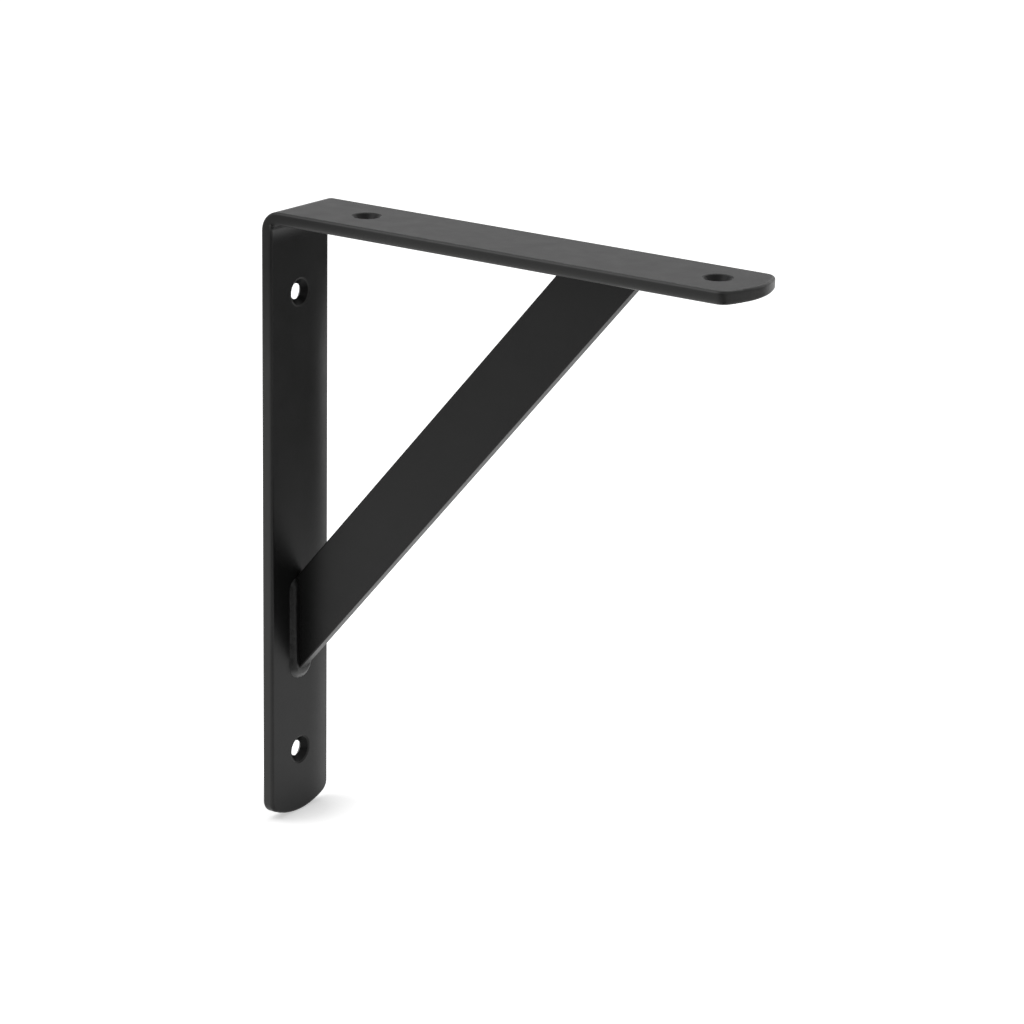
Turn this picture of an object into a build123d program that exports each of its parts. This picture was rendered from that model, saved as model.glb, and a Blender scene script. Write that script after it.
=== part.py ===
from build123d import *
import math
import os

# A welded shelf bracket, in millimetres: a flat bar bent square, with a diagonal brace across it.
# X runs out from the wall along the arm, Y runs across the bar and Z is up.
# The origin is on the wall, midway between the two wall screws.

# Angle bar
bar_width = 25.0
bar_thickness = 3.6
arm_reach = 150.0  # from the wall to the tip of the arm
leg_height = 175.4  # from the shelf down to the tip of the leg
bend_inside_radius = 2.0
tip_radius = 24.0  # the shallow arc across each end of the bar
tip_corner_radius = 3.8  # where that arc meets the sides
bar_edge_radius = 0.9

# Screw holes
screw_bore = 4.4
screw_head = 7.8  # every hole is countersunk from both faces of the bar
countersink_angle = 90.0
hole_rim_bevel = 0.25  # how far a shallow bevel widens each countersink
hole_rim_angle = 135.0
wall_screw_drop = 24.4  # from the shelf down to the upper wall screw
wall_screw_rise = 18.4  # from the tip of the leg up to the lower wall screw
shelf_screw_inset = 26.3  # from the wall out to the first shelf screw
shelf_screw_margin = 12.8  # from the tip of the arm in to the second shelf screw

# Brace
brace_width = 18.5
brace_thickness = 3.6
brace_edge_radius = 0.4
brace_drop = 119.4  # from the shelf down to where its centre line meets the leg
brace_reach = 103.9  # from the wall out to where its centre line meets the arm

# Weld beads
weld_levels = ((2.9, 0.0), (2.0, 0.85), (1.2, 1.2))  # how far a bead spreads at each height on the bar
weld_end_gap = 0.6  # how far a bead starts from the sharp corner of the brace
weld_tail = 2.0  # how far it runs on beyond the blunt corner

# Places that follow from those sizes
hole_rim = screw_head / 2 + hole_rim_bevel
wall_screw_pitch = leg_height - wall_screw_drop - wall_screw_rise
shelf_z = wall_screw_pitch / 2 + wall_screw_drop
underside_z = shelf_z - bar_thickness
arm_top = Plane(origin=(0, 0, shelf_z))
arm_underside = Plane(origin=(0, 0, underside_z), x_dir=(1, 0, 0), z_dir=(0, 0, -1))
leg_back = Plane(origin=(0, 0, shelf_z), x_dir=(0, 0, -1), z_dir=(-1, 0, 0))
leg_front = Plane(origin=(bar_thickness, 0, shelf_z), x_dir=(0, 0, -1), z_dir=(1, 0, 0))
arm_foot = Vector(brace_reach, 0, underside_z)
leg_foot = Vector(bar_thickness, 0, shelf_z - brace_drop)
brace_run = arm_foot - leg_foot
brace_line = brace_run.normalized()
brace_slope = math.degrees(math.atan2(brace_run.Z, brace_run.X))


def bar_blank(length):
    """The outline of a straight bar that runs from the origin along X to a rounded tip."""
    half_width = bar_width / 2
    tip_depth = tip_radius - math.sqrt(tip_radius**2 - half_width**2)
    shoulder = length - tip_depth
    with BuildSketch() as blank:
        with BuildLine():
            Polyline((shoulder, half_width), (0, half_width), (0, -half_width), (shoulder, -half_width))
            ThreePointArc((shoulder, -half_width), (length, 0), (shoulder, half_width))
        make_face()
        fillet(blank.vertices().group_by(Axis.X)[-1], tip_corner_radius)
    return blank.sketch


def weld_bead(foot, face_normal, run):
    """A low rounded bead down both sides of a brace foot and round the blunt corner beyond it."""
    lean = run.dot(face_normal)
    along = (face_normal * lean - run).normalized()
    middle = foot + along * ((weld_end_gap + weld_tail) / 2)
    full_spread = weld_levels[0][0]
    full_length = brace_width / lean - weld_end_gap + weld_tail
    with BuildPart() as bead:
        for spread, rise in weld_levels:
            level = Plane(origin=middle + face_normal * rise, x_dir=along, z_dir=face_normal)
            length = full_length - 2 * (full_spread - spread)
            width = brace_thickness + 2 * spread
            with BuildSketch(level) as outline:
                SlotOverall(length, width)
                Rectangle(length / 2, width, align=(Align.MAX, Align.CENTER))
                fillet(outline.vertices().group_by(Axis.X)[0], spread)
        loft()
    return bead.part


# The bar is what its side view, its plan and its front view have in common.
with BuildPart() as angle_bar:
    with BuildSketch(Plane.XZ):
        with BuildLine():
            leg_tip_z = shelf_z - leg_height
            outside = FilletPolyline(
                (0, leg_tip_z),
                (0, shelf_z),
                (arm_reach, shelf_z),
                radius=bend_inside_radius + bar_thickness,
            )
            inside = FilletPolyline(
                (bar_thickness, leg_tip_z),
                (bar_thickness, underside_z),
                (arm_reach, underside_z),
                radius=bend_inside_radius,
            )
            Line(outside @ 0, inside @ 0)
            Line(outside @ 1, inside @ 1)
        make_face()
    extrude(amount=bar_width / 2, both=True)
    with BuildSketch(arm_top):
        add(bar_blank(arm_reach))
    extrude(amount=-leg_height, mode=Mode.INTERSECT)
    with BuildSketch(leg_back):
        add(bar_blank(leg_height))
    extrude(amount=-arm_reach, mode=Mode.INTERSECT)

    # The rim of the bar is everything but the bend lines and the short edges through its thickness.
    bend_lines = angle_bar.edges().filter_by(Axis.Y)
    corner_lines = angle_bar.edges().filter_by(GeomType.LINE).group_by(SortBy.LENGTH)[0]
    fillet(angle_bar.edges() - bend_lines - corner_lines, bar_edge_radius)

    with Locations(leg_front, leg_back):
        with Locations((wall_screw_drop, 0), (leg_height - wall_screw_rise, 0)):
            CounterSinkHole(screw_bore / 2, screw_head / 2, counter_sink_angle=countersink_angle)
            CounterSinkHole(screw_bore / 2, hole_rim, counter_sink_angle=hole_rim_angle)
    with Locations(arm_top, arm_underside):
        with Locations((shelf_screw_inset, 0), (arm_reach - shelf_screw_margin, 0)):
            CounterSinkHole(screw_bore / 2, screw_head / 2, counter_sink_angle=countersink_angle)
            CounterSinkHole(screw_bore / 2, hole_rim, counter_sink_angle=hole_rim_angle)

# The brace is a straight bar on edge, mitred against the leg and the underside of the arm.
with BuildPart() as brace_bar:
    with BuildSketch(Plane.XZ):
        with Locations(Location(((leg_foot.X + arm_foot.X) / 2, (leg_foot.Z + arm_foot.Z) / 2))):
            Rectangle(2 * brace_run.length, brace_width, rotation=brace_slope)
        with Locations((bar_thickness, underside_z)):
            Rectangle(arm_reach, leg_height, align=(Align.MIN, Align.MAX), mode=Mode.INTERSECT)
    extrude(amount=brace_thickness / 2, both=True)
    fillet(brace_bar.edges().filter_by(Axis((0, 0, 0), brace_line)), brace_edge_radius)

# Each bead is cut to the brace that it grips.
with BuildPart() as wall_weld:
    add(weld_bead(leg_foot, Vector(1, 0, 0), brace_line))
    add(brace_bar.part, mode=Mode.SUBTRACT)

with BuildPart() as shelf_weld:
    add(weld_bead(arm_foot, Vector(0, 0, -1), -brace_line))
    add(brace_bar.part, mode=Mode.SUBTRACT)

os.makedirs("parts", exist_ok=True)
for name, piece in (
    ("angle_bar", angle_bar),
    ("brace_bar", brace_bar),
    ("wall_weld", wall_weld),
    ("shelf_weld", shelf_weld),
):
    piece.part.label = name
    export_step(piece.part, f"parts/{name}.step")
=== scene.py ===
"""Looks for the welded shelf bracket: its powder coat, weld beads, studio and camera."""

import math

import bpy
from mathutils import Matrix, Vector


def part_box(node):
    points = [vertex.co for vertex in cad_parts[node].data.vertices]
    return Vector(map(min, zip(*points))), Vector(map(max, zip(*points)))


# Camera, in degrees and metres. Azimuth 0 looks along +Y and turns towards +X.
CAMERA_AZIMUTH = 35.499
CAMERA_ELEVATION = 17.025
CAMERA_ROLL = 0.973
CAMERA_DISTANCE = 0.96749
CAMERA_LENS = 0.12784
SENSOR_WIDTH = 0.036
SHIFT = (0.00791, -0.00202)
AIM_OFFSET = (-0.00152, 0.01441)

# Powder coat
COAT_COLOR = (0.007, 0.007, 0.0069)
COAT_SHADES = (0.85, 1.15)  # of that colour, in the darkest and the lightest of its soft clouds
CLOUD_SIZE = 0.02
COAT_ROUGHNESS = (0.31, 0.41)  # where the coat is glossiest and where it is dullest
GLOSS_SIZE = 0.006
COAT_SPECULAR = 0.22
PEEL_SIZE = 0.0011  # the orange peel of the coat, crest to crest
PEEL_HEIGHT = 0.000012
SPECK_SIZE = 0.00022
SPECK_HEIGHT = 0.000003
NOISE_DETAIL = 2.0

# Coat on the bent bar. The inner faces of the bar are the front of its leg and the underside of its arm.
PALE_COAT_AND_SHEEN = (0.038, 0.038, 0.0372)  # partly a paler coat and partly painted sheen on the sheared sides and the end of the arm, and a painted highlight on the rims of the holes
ARM_SHEEN_SHARE = 0.55  # how much of that colour the sides of the arm take on, where those of the leg take it all: a painted difference in sheen
PAINTED_HIGHLIGHT_COLOR = (0.12, 0.12, 0.118)  # a painted highlight at the lower edge of the arm's sides and on one half of its end
HIGHLIGHT_POWER = 4.0  # how steeply the painted highlight on the sides of the arm grows towards their lower edge
HIGHLIGHT_HALF = (-0.35, 0.2)  # in half widths of the bar, where the painted highlight on the arm's end starts and stops growing
EDGE_BAND = 0.0009  # of the rounded edges
TIP_RADIUS = 0.024  # of the bar's end, seen from above
BEND_FADE = (0.012, 0.04)  # from the bend, where a change along the bar starts and where it is complete
ROLL_WIDTH = 0.010  # how far in the inner faces of the bar start to fall away towards one side
ROLL_POWER = 3.0
ROLL_DROP = 0.0012
POOL_WIDTH = 0.006  # the coat has pooled in the inner corner of the bend
POOL_POWER = 2.0
POOL_DEPTH = 0.0022

# Screw holes in the bar
HOLE_SHADE_SPECULAR = 0.1  # lower specular on the walls of the screw holes: painted shade in them
HOLE_HALF = 0.35  # in half widths of the bar, a little more than the radius of a hole's mouth
RIM_DEPTH = 0.00028  # how deep the painted highlight on the rim of a hole reaches
FACE_SKIN = 0.000028  # nearer than this to a face of the bar, a point is on the face and not in a hole
CLEAR = 0.005  # from the bend and the ends of the bar, where there is no screw hole

# Coat on the weld beads
LUMP_SIZE = 0.003
LUMP_HEIGHT = 0.00025
FOOT_HIGHLIGHT_SPECULAR = 0.9  # higher specular on the lower end of the weld: a painted highlight there
FOOT_HIGHLIGHT = (0.001, 0.0035)  # above the end of the weld, where that painted highlight is full and where it has gone

# Studio
FLOOR_COLOR = (0.8, 0.8, 0.8)
FLOOR_SIZE = 8.0
FLOOR_LIFT_AND_SHADOW = (0.5, 0.86)  # of the seen white, near the object and far from it; the lower value near the object paints a shadow there
FLOOR_SHADOW_FADE = (0.010, 0.030)  # the distances at which those hold, the reach of that painted shadow
WORLD_LIGHT = 0.24  # how strongly the white surround lights things
LAMP_SIZE = 0.8
GRAY = 0.3  # of the cards
SKY_GRAY = 0.05
BLACK = 0.02
CARD_LIFT = 0.002  # of a lying card, off the floor


def new_material(name):
    """A node material and its Principled shader."""
    material = bpy.data.materials.new(name)
    material.use_nodes = True
    return material, material.node_tree.nodes["Principled BSDF"]


def own_place(tree):
    """A point's place in the axes of its object, which are the frame's for the pieces of the bracket."""
    return tree.nodes.new("ShaderNodeTexCoord").outputs["Object"]


def split(tree, place):
    """The x, y and z of a place."""
    axes = tree.nodes.new("ShaderNodeSeparateXYZ")
    tree.links.new(place, axes.inputs["Vector"])
    return [axes.outputs[axis] for axis in "XYZ"]


def noise(tree, place, size):
    """A noise texture whose features are about `size` metres across."""
    texture = tree.nodes.new("ShaderNodeTexNoise")
    texture.inputs["Scale"].default_value = 1 / size
    texture.inputs["Detail"].default_value = NOISE_DETAIL
    tree.links.new(place, texture.inputs["Vector"])
    return texture.outputs["Fac"]


def ramp(tree, value, start, end, low=0.0, high=1.0):
    """`low` up to `start`, `high` from `end` on and a straight ramp between."""
    node = tree.nodes.new("ShaderNodeMapRange")
    node.inputs["From Min"].default_value = start
    node.inputs["From Max"].default_value = end
    node.inputs["To Min"].default_value = low
    node.inputs["To Max"].default_value = high
    tree.links.new(value, node.inputs["Value"])
    return node.outputs["Result"]


def spread(tree, factor, low, high):
    """Maps a 0 to 1 factor onto low to high."""
    return ramp(tree, factor, 0.0, 1.0, low, high)


def calc(tree, operation, *values):
    """A math node, whose values are sockets or numbers."""
    node = tree.nodes.new("ShaderNodeMath")
    node.operation = operation
    for socket, value in zip(node.inputs, values):
        if isinstance(value, float):
            socket.default_value = value
        else:
            tree.links.new(value, socket)
    return node.outputs["Value"]


def product(tree, *values):
    """Several sockets multiplied together."""
    total = values[0]
    for value in values[1:]:
        total = calc(tree, "MULTIPLY", total, value)
    return total


def layer(tree, factor, under, color):
    """A constant colour over another one."""
    mix = tree.nodes.new("ShaderNodeMix")
    mix.data_type = "RGBA"
    mix.inputs["B"].default_value = (*color, 1)
    tree.links.new(factor, mix.inputs["Factor"])
    tree.links.new(under, mix.inputs["A"])
    return mix.outputs["Result"]


def bump(tree, height, distance, normal=None, strength=None):
    """The shading normal of a height map whose full height is `distance` metres."""
    node = tree.nodes.new("ShaderNodeBump")
    node.inputs["Distance"].default_value = distance
    tree.links.new(height, node.inputs["Height"])
    if normal:
        tree.links.new(normal, node.inputs["Normal"])
    if strength:
        tree.links.new(strength, node.inputs["Strength"])
    return node.outputs["Normal"]


def coat_color(tree, place):
    """The coat's black, in soft clouds."""
    tint = tree.nodes.new("ShaderNodeMix")
    tint.data_type = "RGBA"
    for socket, shade in zip("AB", COAT_SHADES):
        tint.inputs[socket].default_value = (*(shade * c for c in COAT_COLOR), 1)
    tree.links.new(noise(tree, place, CLOUD_SIZE), tint.inputs["Factor"])
    return tint.outputs["Result"]


def finish_coat(tree, shader, place, color, normal=None):
    """Satin powder coat in a colour: a slightly uneven gloss, orange peel and fine specks."""
    tree.links.new(color, shader.inputs["Base Color"])
    gloss = spread(tree, noise(tree, place, GLOSS_SIZE), *COAT_ROUGHNESS)
    tree.links.new(gloss, shader.inputs["Roughness"])
    peel = bump(tree, noise(tree, place, PEEL_SIZE), PEEL_HEIGHT, normal)
    speck = bump(tree, noise(tree, place, SPECK_SIZE), SPECK_HEIGHT, peel)
    tree.links.new(speck, shader.inputs["Normal"])


def drawn_coat(tree, y, ahead, below, bar):
    """The bar's inner faces fall away towards one sheared side, and the coat pools in the bend."""
    inner = ramp(tree, calc(tree, "MINIMUM", ahead, below), -EDGE_BAND, 0.0)
    from_bend = calc(tree, "MAXIMUM", ahead, below)
    roll = calc(tree, "POWER", ramp(tree, y, bar["half_width"] - ROLL_WIDTH, bar["half_width"]), ROLL_POWER)
    roll = product(tree, roll, ramp(tree, from_bend, *BEND_FADE))
    pool = calc(tree, "POWER", ramp(tree, from_bend, POOL_WIDTH, 0.0), POOL_POWER)
    return bump(tree, pool, POOL_DEPTH, bump(tree, roll, -ROLL_DROP, None, inner), inner)


def in_screw_holes(tree, y, ahead, below, bar):
    """1 on the walls of the screw holes, and 1 on their rims in the inner faces of the bar."""
    into = calc(tree, "MINIMUM", ahead, below)
    to_tip = calc(tree, "SUBTRACT", bar["reach"], ahead)
    to_foot = calc(tree, "SUBTRACT", bar["drop"], below)
    walls = product(
        tree,
        calc(tree, "LESS_THAN", calc(tree, "ABSOLUTE", y), HOLE_HALF * bar["half_width"]),
        calc(tree, "LESS_THAN", into, -FACE_SKIN),
        calc(tree, "GREATER_THAN", into, FACE_SKIN - bar["thickness"]),
        calc(tree, "GREATER_THAN", calc(tree, "MAXIMUM", ahead, below), CLEAR),
        calc(tree, "GREATER_THAN", calc(tree, "MINIMUM", to_tip, to_foot), CLEAR),
    )
    return walls, product(tree, walls, calc(tree, "GREATER_THAN", into, -RIM_DEPTH))


def at_arm_end(tree, y, ahead, bar):
    """1 on the end of the arm, an arc about a point on the middle line of the bar."""
    past = calc(tree, "MAXIMUM", calc(tree, "SUBTRACT", ahead, bar["reach"] - TIP_RADIUS), 0.0)
    squares = calc(tree, "ADD", product(tree, past, past), product(tree, y, y))
    return ramp(tree, calc(tree, "SQRT", squares), TIP_RADIUS - EDGE_BAND, TIP_RADIUS)


def pale_sides_and_sheen(tree, color, y, ahead, below, bar):
    """The sheared sides and the end of the arm are paler, partly a paler coat and partly painted sheen, with
    a painted highlight most at the arm's lower edge.
    """
    half = bar["half_width"]
    side = ramp(tree, calc(tree, "ABSOLUTE", y), half - EDGE_BAND, half)
    # painted shade: the paler colour of the sides fades out towards the bend
    away = ramp(tree, calc(tree, "MAXIMUM", ahead, below), *BEND_FADE)
    arm = ramp(tree, ahead, 0.0, BEND_FADE[0])
    color = layer(tree, product(tree, side, away, spread(tree, arm, 1.0, ARM_SHEEN_SHARE)), color, PALE_COAT_AND_SHEEN)

    end = at_arm_end(tree, y, ahead, bar)
    color = layer(tree, end, color, PALE_COAT_AND_SHEEN)
    # painted highlight on one half of the arm's end
    highlight_half = ramp(tree, y, HIGHLIGHT_HALF[0] * half, HIGHLIGHT_HALF[1] * half)
    color = layer(tree, product(tree, end, highlight_half), color, PAINTED_HIGHLIGHT_COLOR)

    # painted highlight that grows towards the lower edge of the arm's sides
    low = calc(tree, "POWER", ramp(tree, below, -bar["thickness"], 0.0), HIGHLIGHT_POWER)
    return layer(tree, product(tree, side, arm, low), color, PAINTED_HIGHLIGHT_COLOR)


def bar_coat(bar):
    """The coat on the bent bar: paler on its sheared sides, partly a paler coat and partly painted sheen,
    with painted highlights, painted shade in its screw holes, and different at its bend.
    """
    material, shader = new_material("bar_coat")
    tree = material.node_tree
    place = own_place(tree)
    x, y, z = split(tree, place)
    ahead = calc(tree, "SUBTRACT", x, bar["inner_x"])  # of the front of the leg
    below = calc(tree, "SUBTRACT", bar["inner_z"], z)  # the underside of the arm
    walls, rims = in_screw_holes(tree, y, ahead, below, bar)
    # painted shade: lower specular on the walls of the screw holes
    painted_specular = spread(tree, walls, COAT_SPECULAR, HOLE_SHADE_SPECULAR)
    tree.links.new(painted_specular, shader.inputs["Specular IOR Level"])
    color = pale_sides_and_sheen(tree, coat_color(tree, place), y, ahead, below, bar)
    # painted highlight on the rims of the holes
    color = layer(tree, rims, color, PALE_COAT_AND_SHEEN)
    finish_coat(tree, shader, place, color, drawn_coat(tree, y, ahead, below, bar))
    return material


def weld_coat(foot):
    """The coat on the weld beads, in low lumps, with a painted highlight from higher specular near the height
    `foot`.
    """
    material, shader = new_material("weld_coat")
    tree = material.node_tree
    place = own_place(tree)
    height = split(tree, place)[2]
    # painted highlight: higher specular near the lower end of the weld
    foot_highlight = ramp(tree, height, foot + FOOT_HIGHLIGHT[1], foot + FOOT_HIGHLIGHT[0])
    painted_specular = spread(tree, foot_highlight, COAT_SPECULAR, FOOT_HIGHLIGHT_SPECULAR)
    tree.links.new(painted_specular, shader.inputs["Specular IOR Level"])
    lumps = bump(tree, noise(tree, place, LUMP_SIZE), LUMP_HEIGHT)
    finish_coat(tree, shader, place, coat_color(tree, place), lumps)
    return material


def brace_coat():
    """The coat on the brace, which is the same all over."""
    material, shader = new_material("brace_coat")
    tree = material.node_tree
    place = own_place(tree)
    shader.inputs["Specular IOR Level"].default_value = COAT_SPECULAR
    finish_coat(tree, shader, place, coat_color(tree, place))
    return material


def seen_directly(tree):
    """1 for rays from the camera, a reflection or a refraction, and 0 for light that falls on things."""
    path = tree.nodes.new("ShaderNodeLightPath")
    total = path.outputs["Is Camera Ray"]
    for ray in ("Is Glossy Ray", "Is Transmission Ray"):
        total = calc(tree, "ADD", total, path.outputs[ray])
        total.node.use_clamp = True
    return total


def floor_white():
    """A matt white floor that keeps the object's shadow and is lifted to white where it is seen, less so near
    the object, which paints a shadow around the tip of the leg.
    """
    material, shader = new_material("floor_white")
    tree = material.node_tree
    tree.nodes.remove(shader)
    matt = tree.nodes.new("ShaderNodeBsdfDiffuse")
    matt.inputs["Color"].default_value = (*FLOOR_COLOR, 1)

    reach = tree.nodes.new("ShaderNodeVectorMath")
    reach.operation = "LENGTH"
    tree.links.new(own_place(tree), reach.inputs[0])
    # the floor is less lifted near the object: a painted shadow round the tip of the leg
    lift_and_shadow = ramp(tree, reach.outputs["Value"], *FLOOR_SHADOW_FADE, *FLOOR_LIFT_AND_SHADOW)

    glow = tree.nodes.new("ShaderNodeEmission")
    tree.links.new(product(tree, seen_directly(tree), lift_and_shadow), glow.inputs["Strength"])
    total = tree.nodes.new("ShaderNodeAddShader")
    tree.links.new(matt.outputs["BSDF"], total.inputs[0])
    tree.links.new(glow.outputs["Emission"], total.inputs[1])
    tree.links.new(total.outputs["Shader"], tree.nodes["Material Output"].inputs["Surface"])
    return material


def new_sheet(name, corners, material):
    """An object with one four-sided face."""
    mesh = bpy.data.meshes.new(name)
    mesh.from_pydata(corners, [], [(0, 1, 2, 3)])
    mesh.materials.append(material)
    sheet = bpy.data.objects.new(name, mesh)
    bpy.context.scene.collection.objects.link(sheet)
    return sheet


def add_floor(height):
    """A flat floor that the tip of the leg touches."""
    half = FLOOR_SIZE / 2
    corners = [(-half, -half, 0), (half, -half, 0), (half, half, 0), (-half, half, 0)]
    floor = new_sheet("floor", corners, floor_white())
    floor.location.z = height


def set_world():
    """An even pale surround, white where it is seen or reflected."""
    world = bpy.data.worlds.new("studio")
    world.use_nodes = True
    bpy.context.scene.world = world
    tree = world.node_tree
    tree.nodes.clear()
    background = tree.nodes.new("ShaderNodeBackground")
    background.inputs["Color"].default_value = (1, 1, 1, 1)
    strength = spread(tree, seen_directly(tree), WORLD_LIGHT, 1.0)
    tree.links.new(strength, background.inputs["Strength"])
    output = tree.nodes.new("ShaderNodeOutputWorld")
    tree.links.new(background.outputs["Background"], output.inputs["Surface"])


def view_axes(azimuth, elevation):
    """Right, up and back directions of a level camera, for angles in degrees."""
    turn = math.radians(azimuth)
    rise = math.radians(elevation)
    right = Vector((math.cos(turn), math.sin(turn), 0))
    back = Vector(
        (math.sin(turn) * math.cos(rise), -math.cos(turn) * math.cos(rise), math.sin(rise))
    )
    return right, back.cross(right), back


def add_softbox(name, target, azimuth, elevation, distance, power):
    """A square area light that faces the target from the given side."""
    light = bpy.data.lights.new(name, "AREA")
    light.size = LAMP_SIZE
    light.energy = power
    away = view_axes(azimuth, elevation)[2]
    lamp = bpy.data.objects.new(name, light)
    lamp.location = target + distance * away
    lamp.rotation_euler = away.to_track_quat("Z", "Y").to_euler()
    bpy.context.scene.collection.objects.link(lamp)


def add_card(name, gray, centre, across, rise):
    """A flat card that only reflections show, given its centre and the vectors along two sides."""
    material, shader = new_material(name)
    shader.inputs["Base Color"].default_value = (gray, gray, gray, 1)
    shader.inputs["Roughness"].default_value = 1.0
    corners = [
        Vector(centre) + side * Vector(across) / 2 + end * Vector(rise) / 2
        for side, end in ((-1, -1), (1, -1), (1, 1), (-1, 1))
    ]
    card = new_sheet(name, corners, material)
    card.visible_camera = False
    card.visible_diffuse = False
    card.visible_shadow = False


def add_cards(floor):
    """Cards that darken the sheen of some faces, given the height of the floor."""
    low = floor + CARD_LIFT
    # For the front of the leg, from half way down to the bend
    add_card("low_card", GRAY, centre=(0.19, 0.27, low), across=(0.16, -0.11, 0), rise=(0.12, 0.17, 0))
    add_card("far_card", BLACK, centre=(0.32, 0.45, low), across=(0.24, -0.165, 0), rise=(0.14, 0.2, 0))
    # For the sides of the brace and of the bar
    add_card("left_card", GRAY, centre=(-0.26, -0.44, low), across=(0.28, -0.2, 0), rise=(-0.16, -0.22, 0))
    # For the rounded edges of the leg and the weld bead
    add_card("right_card", BLACK, centre=(0.36, -0.24, low), across=(0.11, 0.156, 0), rise=(0.43, -0.3, 0))
    # For the top of the leg's front and the end of the arm
    add_card("rear_card", BLACK, centre=(0.51, 0.5, floor + 0.15), across=(0.36, 0, 0), rise=(0, 0, 0.3))
    # For the screw holes in the leg
    add_card("front_card", BLACK, centre=(0.5, -0.7, floor + 0.22), across=(0.5, 0.32, 0), rise=(0, 0, 0.45))
    # For the top of the arm
    add_card("sky_card", SKY_GRAY, centre=(-0.5, 0.8, floor + 0.54), across=(0.46, 0.3, 0), rise=(0, 0, 0.22))


def add_camera(aim):
    """The camera, turned to its azimuth, elevation and roll about the aim point."""
    right, up, back = view_axes(CAMERA_AZIMUTH, CAMERA_ELEVATION)
    roll = Matrix.Rotation(math.radians(CAMERA_ROLL), 3, back)
    right, up = roll @ right, roll @ up
    place = aim + AIM_OFFSET[0] * right + AIM_OFFSET[1] * up + CAMERA_DISTANCE * back

    data = bpy.data.cameras.new("camera")
    data.sensor_width = 1000 * SENSOR_WIDTH
    data.lens = 1000 * CAMERA_LENS
    data.shift_x, data.shift_y = SHIFT
    camera = bpy.data.objects.new("camera", data)
    camera.matrix_world = Matrix.Translation(place) @ Matrix((right, up, back)).transposed().to_4x4()
    bpy.context.scene.collection.objects.link(camera)
    bpy.context.scene.camera = camera


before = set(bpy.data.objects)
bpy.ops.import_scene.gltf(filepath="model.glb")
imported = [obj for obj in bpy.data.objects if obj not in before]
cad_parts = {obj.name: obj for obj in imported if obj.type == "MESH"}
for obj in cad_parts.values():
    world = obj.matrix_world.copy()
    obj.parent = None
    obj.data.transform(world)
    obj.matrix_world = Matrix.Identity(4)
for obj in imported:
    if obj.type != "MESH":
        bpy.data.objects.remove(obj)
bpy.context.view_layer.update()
bar_low, bar_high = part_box("angle_bar")
brace_low, brace_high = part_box("brace_bar")  # the brace stands on the front of the leg and under the arm
bar = {
    "half_width": bar_high.y,
    "thickness": brace_low.x - bar_low.x,
    "inner_x": brace_low.x,
    "inner_z": brace_high.z,
    "reach": bar_high.x - brace_low.x,
    "drop": brace_high.z - bar_low.z,
}
bead_coat = weld_coat(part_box("wall_weld")[0].z)
coats = {
    "angle_bar": bar_coat(bar),
    "brace_bar": brace_coat(),
    "wall_weld": bead_coat,
    "shelf_weld": bead_coat,
}
for name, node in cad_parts.items():
    node.data.materials.clear()
    node.data.materials.append(coats[name])

middle = (bar_low + bar_high) / 2
add_floor(bar_low.z)
set_world()
add_softbox("key", middle, azimuth=-40, elevation=50, distance=1.0, power=5.5)
add_softbox("back", middle, azimuth=-160, elevation=55, distance=1.1, power=2.4)
add_cards(bar_low.z)
add_camera(middle)
bpy.context.scene.view_settings.view_transform = "Standard"
